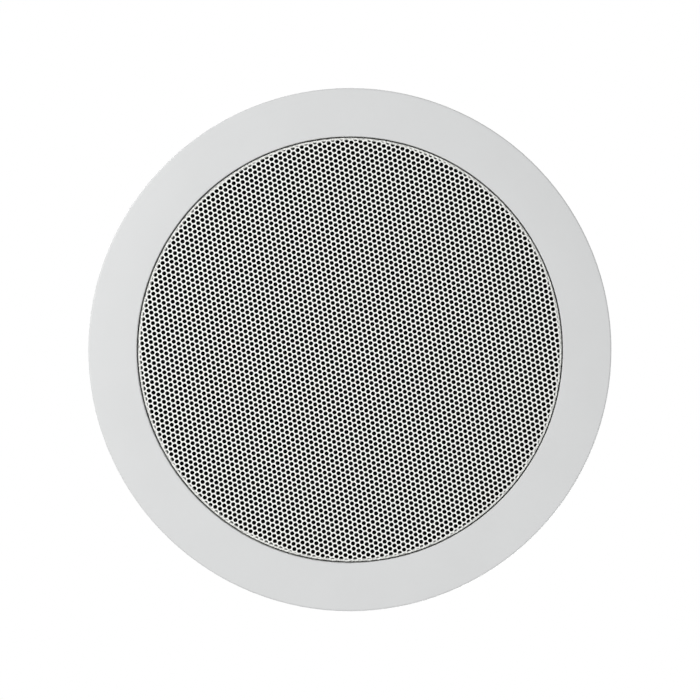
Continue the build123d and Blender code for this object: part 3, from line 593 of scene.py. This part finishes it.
def turned_up(flat, bend_start, front, bend):
    """Points of the flat blank in space, its edge turned up round a bend."""
    spread = np.hypot(flat[:, 0], flat[:, 1])
    past = np.clip(spread - bend_start, 0, None)
    angle = np.minimum(past / SHEET_BEND, pi / 2)
    radius = np.where(past > 0, bend_start + bend * np.sin(angle), spread)
    height = front + SHEET_BEND - bend * np.cos(angle) + np.clip(past - BEND_ARC, 0, None)
    share = radius / np.maximum(spread, NIL)
    return np.column_stack((flat * share[:, None], height))


def hole_wall():
    """Triangles of a hole's wall: each corner as its number and its face, front 0 or back 1."""
    wall = []
    ahead, behind = 0, 0
    while ahead < HOLE_SIDES or behind < HOLE_BACK_SIDES:
        first = (ahead % HOLE_SIDES, 0)
        second = (behind % HOLE_BACK_SIDES, 1)
        front_lags = ahead < HOLE_SIDES and ahead * HOLE_BACK_SIDES <= behind * HOLE_SIDES
        if behind == HOLE_BACK_SIDES or front_lags:
            ahead += 1
            wall.append((first, (ahead % HOLE_SIDES, 0), second))
        else:
            behind += 1
            wall.append((first, (behind % HOLE_BACK_SIDES, 1), second))
    return wall


def perforated_grille():
    """Sheet punched with staggered holes, its edge turned up all round."""
    low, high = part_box("grille")
    outer, front, top = high.x / MM, low.z / MM, high.z / MM
    bend_start = outer - SHEET_BEND
    blank = bend_start + BEND_ARC + top - front - SHEET_BEND
    centres = hole_centres(bend_start + BEND_ARC * HOLE_LIMIT)
    circle = unit_circle(SHEET_SEGMENTS)
    # Points of the turned edge that keep clear of the holes, and the rim
    bend_points = np.vstack([circle * (bend_start + BEND_ARC * share) for share in BEND_SHARES])
    distance = np.array([np.hypot(*(centres - point).T).min() for point in bend_points])
    back_radius = HOLE_RADIUS * HOLE_BACK_FLARE
    rest = np.vstack((bend_points[distance > back_radius + HOLE_MARGIN], circle * blank))

    front_flat, front_faces = flat_face(centres, rest, HOLE_SIDES, HOLE_RADIUS)
    back_flat, back_faces = flat_face(centres, rest, HOLE_BACK_SIDES, back_radius)
    front_points = turned_up(front_flat, bend_start, front, SHEET_BEND)
    back_points = turned_up(back_flat, bend_start, front, SHEET_BEND - SHEET)
    shift = len(front_points)
    # Both faces, the walls of the holes, and the strip that closes the rim
    faces = front_faces[:, ::-1].tolist() + (back_faces + shift).tolist()
    wall = hole_wall()
    for k in range(len(centres)):
        base = (k * HOLE_SIDES, shift + k * HOLE_BACK_SIDES)
        faces += [[base[side] + index for index, side in corners] for corners in wall]
    last_front, last_back = shift - SHEET_SEGMENTS, shift + len(back_points) - SHEET_SEGMENTS
    for step in range(SHEET_SEGMENTS):
        after = (step + 1) % SHEET_SEGMENTS
        faces.append([last_front + step, last_front + after, last_back + after, last_back + step])
    points = np.vstack((front_points, back_points))
    return new_piece("grille_sheet", points, faces, "white_paint", SHARP_SHEET)


def scrim_cloth():
    """Cloth disc glued to the back of the sheet, its own back a little uneven."""
    low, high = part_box("grille_scrim")
    radius, front, back = high.x / MM, low.z / MM, high.z / MM
    rings = np.linspace(radius / SCRIM_RINGS, radius, SCRIM_RINGS)
    outline = [(r, front) for r in rings] + [(r, back) for r in rings[::-1]]
    points, faces = capped(outline, SCRIM_SEGMENTS)
    turn = np.arctan2(points[:, 1], points[:, 0])
    spread = np.hypot(points[:, 0], points[:, 1])
    slant, swell = (spread / length for length in RIPPLE_LENGTHS)
    ripple = RIPPLE * np.sin(RIPPLE_TURNS * turn + slant) * np.sin(swell)
    points[:, 2] -= np.where(points[:, 2] > (front + back) / 2, np.abs(ripple), 0)
    piece = new_piece("scrim_cloth", points, faces, "black_cloth")
    return piece


def flexing(piece):
    """Bake the piece's placement into its mesh."""
    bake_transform(piece)


def rubber_roll():
    """Half-roll surround with a flat lip on either side."""
    low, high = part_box("woofer_surround")
    outer, crest, back = high.x / MM, low.z / MM, high.z / MM
    wall = SURROUND_WALL
    seat = back - wall
    middle, reach = (ROLL_INNER + ROLL_OUTER) / 2, (ROLL_OUTER - ROLL_INNER) / 2
    steps = np.linspace(0, pi, ROLL_STEPS)
    outline = [
        (outer, back),
        (outer - LIP_SLANT, seat),
        (ROLL_OUTER + ROLL_FOOT, seat),
        *((middle + reach * cos(t), seat - (seat - crest) * sin(t)) for t in steps),
        (ROLL_INNER - ROLL_FOOT, seat),
        (LIP_INNER + LIP_SLANT, seat),
        (LIP_INNER, back),
        (ROLL_INNER + wall, back),
        *((middle - (reach - wall) * cos(t), seat - (seat - crest - wall) * sin(t)) for t in steps),
        (ROLL_OUTER - wall, back),
    ]
    piece = new_piece("surround_roll", *lathe(outline[::-1], FLEX_SEGMENTS), "surround_rubber")
    flexing(piece)
    return piece


def spider_cone():
    """Corrugated cloth ring round the voice coil."""
    low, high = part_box("woofer_spider")
    outer = high.x / MM
    wave = (high.z - low.z) / MM / 2 - SPIDER_CLOTH / 2
    level = (high.z + low.z) / MM / 2 - SPIDER_CLOTH / 2
    radii = np.array([SPIDER_INNER, *np.linspace(WAVES_START, WAVES_END, WAVE_STEPS), outer])
    share = np.clip((radii - WAVES_START) / (WAVES_END - WAVES_START), 0, 1)
    heights = level + wave * np.sin(pi * HALF_WAVES * share)
    front = list(zip(radii, heights))
    back = list(zip(radii, heights + SPIDER_CLOTH))
    piece = new_piece("spider_cloth", *lathe(front + back[::-1], FLEX_SEGMENTS), "spider_cloth")
    flexing(piece)
    return piece


def tinsel_pair():
    """Two braided leads from the solder tags to the back of the cone, as one piece."""
    curve = bpy.data.curves.new("tinsel_route", "CURVE")
    curve.dimensions = "3D"
    curve.bevel_depth = TINSEL_RADIUS * MM
    curve.bevel_resolution = 3
    curve.use_fill_caps = True
    for side in TINSEL_SIDES:
        spline = curve.splines.new("NURBS")
        spline.points.add(len(TINSEL_ROUTE) - 1)
        for point, (y, z) in zip(spline.points, TINSEL_ROUTE):
            point.co = (side * MM, y * MM, z * MM, 1.0)
        spline.order_u = 3
        spline.use_endpoint_u = True
        spline.resolution_u = 16
    holder = bpy.data.objects.new("tinsel_route", curve)
    scene.collection.objects.link(holder)
    mesh = evaluated(holder)
    bpy.data.objects.remove(holder)
    joined = bmesh.new()
    joined.from_mesh(mesh)
    bmesh.ops.remove_doubles(joined, verts=joined.verts, dist=WELD * MM)
    joined.to_mesh(mesh)
    joined.free()
    piece = add_piece("tinsel_braid", mesh, "tinsel")
    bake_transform(piece)
    return piece


def cut_cross(piece, spot, reach, half, depth):
    """Cross cut into a flat end: a depth above zero cuts upward, one below zero downward."""
    outline = [(reach, half), (half, half), (half, reach)]
    outline += [(-x, y) for x, y in outline[::-1]]
    outline += [(-x, -y) for x, y in outline]
    levels = sorted(((spot[2] - copysign(CUT_OVER, depth), 1.0), (spot[2] + depth, CUT_TAPER)))
    points = [(spot[0] + x * s, spot[1] + y * s, z) for z, s in levels for x, y in outline]
    count = len(outline)
    faces = [(i, (i + 1) % count, count + (i + 1) % count, count + i) for i in range(count)]
    faces += [tuple(range(count))[::-1], tuple(range(count, 2 * count))]
    cutter = new_piece("cross_cutter", points, faces, "zinc_steel")
    change = piece.modifiers.new("recess", "BOOLEAN")
    change.object = cutter
    change.solver = "EXACT"
    mesh = evaluated(piece)
    mesh.set_sharp_from_angle(angle=radians(SHARP_SHEET))
    piece.modifiers.clear()
    piece.data = mesh
    bpy.data.objects.remove(cutter)


def screw_thread(seat, top, turn):
    """Loops of the shank as (radius, height), from the last row of the thread to the head."""
    rows = np.arange(seat, top - SHANK_TIP, THREAD_PITCH / THREAD_ROWS)
    phase = (rows[:, None] / THREAD_PITCH - turn[None, :] / (2 * pi)) % 1.0
    ridge = np.clip(THREAD_CREST - np.abs(phase - 0.5) * THREAD_SLOPE, 0, 1)
    fade = np.clip((rows - seat - THREAD_START) / THREAD_FADE, 0, 1)[:, None]
    spread = SHANK_RADIUS - THREAD_DEPTH * (1 - ridge) * fade
    return [[(radius, height) for radius in row] for row, height in zip(spread[::-1], rows[::-1])]


def pan_head(seat):
    """Outline of the head as (radius, height), from the shank to the edge of its flat front."""
    outline = [
        (HEAD_RADIUS * HEAD_NECK, seat),
        (HEAD_RADIUS, seat),
        (HEAD_RADIUS, seat - HEAD_HEIGHT * HEAD_UPRIGHT),
    ]
    for t in np.arange(1, HEAD_STEPS + 1) / HEAD_STEPS * pi / 2:
        radius = HEAD_RADIUS - HEAD_HEIGHT * HEAD_DOME * (1 - cos(t))
        outline.append((radius, seat - HEAD_HEIGHT * (HEAD_UPRIGHT + HEAD_DOME * sin(t))))
    return outline


def threaded_screw(number):
    """Clamp screw with a cross-recessed pan head and a coarse thread."""
    centre, _, bottom, top = upright(f"clamp_screw_{number}")
    seat = bottom + HEAD_HEIGHT
    count = SCREW_COLUMNS
    turn = np.arange(count) * 2 * pi / count
    loops = [[(SHANK_RADIUS - SHANK_TIP, top)] * count]
    loops += screw_thread(seat, top, turn)
    loops += [[spot] * count for spot in pan_head(seat)]
    points = []
    for loop in loops:
        points += [(centre[0] + r * cos(t), centre[1] + r * sin(t), z) for (r, z), t in zip(loop, turn)]
    faces = []
    for here in range(0, (len(loops) - 1) * count, count):
        there = here + count
        for i in range(count):
            k = (i + 1) % count
            faces.append((here + i, there + i, there + k, here + k))
    faces.append(tuple(range(count)))
    faces.append(tuple(range((len(loops) - 1) * count, len(loops) * count))[::-1])
    piece = new_piece(f"clamp_screw_thread_{number}", points, faces, "zinc_steel", SHARP_SHEET)
    reach, half = HEAD_RADIUS * RECESS_REACH, HEAD_RADIUS * RECESS_HALF
    cut_cross(piece, (*centre, bottom), reach, half, HEAD_HEIGHT * RECESS_DEPTH)
    return piece


def wire_turns():
    """Copper coil, the turns of its outer layer bowed one by one."""
    centre, outer, bottom, top = upright("inductor_winding")
    wire = (top - bottom) / COIL_TURNS / 2
    outline = [(COIL_INNER, top), (COIL_INNER, bottom), (outer - wire, bottom)]
    for number in range(COIL_TURNS):
        middle = bottom + wire * (2 * number + 1)
        for t in np.linspace(-TURN_BOW, TURN_BOW, TURN_STEPS):
            outline.append((outer - wire + wire * cos(t), middle + wire * sin(t)))
    outline.append((outer - wire, top))
    return new_piece("inductor_turns", *lathe(outline, COIL_SEGMENTS, centre), "copper", SHARP_WIRE)


def sealed_can():
    """Electrolytic capacitor: crimped can, curled edge of its sleeve, and the vent in its bare end."""
    centre, radius, bottom, top = upright("electrolytic_capacitor")
    crimp = bottom + CAN_CRIMP_HEIGHT
    end, rim = top - CAN_SUNK, radius - CAN_RIM
    groove = np.linspace(-1, 1, CRIMP_STEPS) * pi / 2
    curl = np.linspace(0, 1, CURL_STEPS) * pi / 2
    outline = [
        (radius * CAN_CAPS[0], bottom),
        (radius - CAN_FOOT, bottom),
        (radius, bottom + CAN_FOOT),
        *((radius - CAN_CRIMP * cos(t), crimp + CAN_CRIMP * sin(t)) for t in groove),
        *((radius - CAN_CURL * (1 - cos(t)), top - CAN_CURL * (1 - sin(t))) for t in curl),
        (rim, top),
        (rim - CAN_RIM_SLANT, end),
        (radius * CAN_CAPS[1], end),
    ]
    can = capped(outline, CAN_SEGMENTS, centre)
    piece = new_piece("capacitor_can", *can, "can_sleeve", SHARP_SHEET)
    cut_cross(piece, (*centre, end), radius * VENT_REACH, VENT_HALF, -VENT_DEPTH)
    return piece


for made, body, node in (
    (perforated_grille(), "grille", "grille"),
    (scrim_cloth(), "grille", "grille_scrim"),
    (wire_turns(), "frame", "inductor_winding"),
    (sealed_can(), "frame", "electrolytic_capacitor"),
):
    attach(made, body)
    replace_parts(made, node)
for number in (1, 2, 3, 4):
    made = threaded_screw(number)
    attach(made, f"clamp_screw_{number}")
    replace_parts(made, f"clamp_screw_{number}")
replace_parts(rubber_roll(), "woofer_surround")
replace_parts(spider_cone(), "woofer_spider")
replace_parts(tinsel_pair(), "tinsel_leads")


# Camera, light and stage

rim_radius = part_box("bezel")[1].x / MM
distance = rim_radius * LENS * HALF_FRAME / (RIM_PIXELS * SENSOR / 2)
camera = bpy.data.objects.new("camera", bpy.data.cameras.new("camera"))
camera.data.lens = LENS
camera.data.sensor_width = SENSOR
camera.data.clip_end = CLIP_END
camera.location = [part * MM for part in (*OFF_CENTRE, RIM_FRONT - distance)]
camera.rotation_euler = (0.0, pi, 0.0)
scene.collection.objects.link(camera)
scene.camera = camera


def lamp(name, spot, power, size):
    """Soft square lamp that points at the speaker."""
    light = bpy.data.lights.new(name, "AREA")
    light.energy = power
    light.size = size
    made = bpy.data.objects.new(name, light)
    made.location = spot
    made.rotation_euler = (-Vector(spot)).to_track_quat("-Z", "Y").to_euler()
    made.visible_camera = False
    scene.collection.objects.link(made)


for name, values in LAMPS.items():
    lamp(name, *values)


def seen_directly(tree):
    """1 for what the camera sees, straight or in a mirror or glass."""
    path = put(tree, "ShaderNodeLightPath").outputs
    seen = combine(tree, "MAXIMUM", path["Is Camera Ray"], path["Is Glossy Ray"])
    return combine(tree, "MAXIMUM", seen, path["Is Transmission Ray"])


def studio_world():
    """Even white light from all round, full white where the camera sees it."""
    world = bpy.data.worlds.new("studio")
    world.use_nodes = True
    tree = world.node_tree
    backdrop = tree.nodes["Background"]
    backdrop.inputs["Color"].default_value = (1.0, 1.0, 1.0, 1.0)
    feed(tree, backdrop, "Strength", between(tree, seen_directly(tree), WORLD_FILL, 1.0))
    scene.world = world


def paper_floor():
    """White paper under the speaker, which glows where the camera sees it."""
    bpy.ops.mesh.primitive_circle_add(
        vertices=FLOOR_SEGMENTS, radius=FLOOR_RADIUS, fill_type="NGON", location=(0, 0, FLOOR_HEIGHT)
    )
    floor = bpy.context.object
    floor.name = "floor"
    paper, tree, shader = new_material("paper", {"Roughness": PAPER_ROUGH})
    dark, light = ((grey, grey, grey) for grey in PAPER_GREYS)
    cloud = noise(tree, place_of(tree), scale=3.0)
    feed(tree, shader, "Base Color", shades(tree, cloud, dark, light))
    glow = put(tree, "ShaderNodeEmission", {"Color": (1.0, 1.0, 1.0, 1.0), "Strength": 1.0})
    share = between(tree, seen_directly(tree), 0.0, PAPER_GLOW)
    lit = put(tree, "ShaderNodeMixShader", {0: share, 1: shader.outputs[0], 2: glow.outputs[0]})
    feed(tree, tree.nodes["Material Output"], "Surface", lit.outputs[0])
    floor.data.materials.append(paper)
    return floor


studio_world()
paper_floor()

scene.view_settings.view_transform = "Standard"
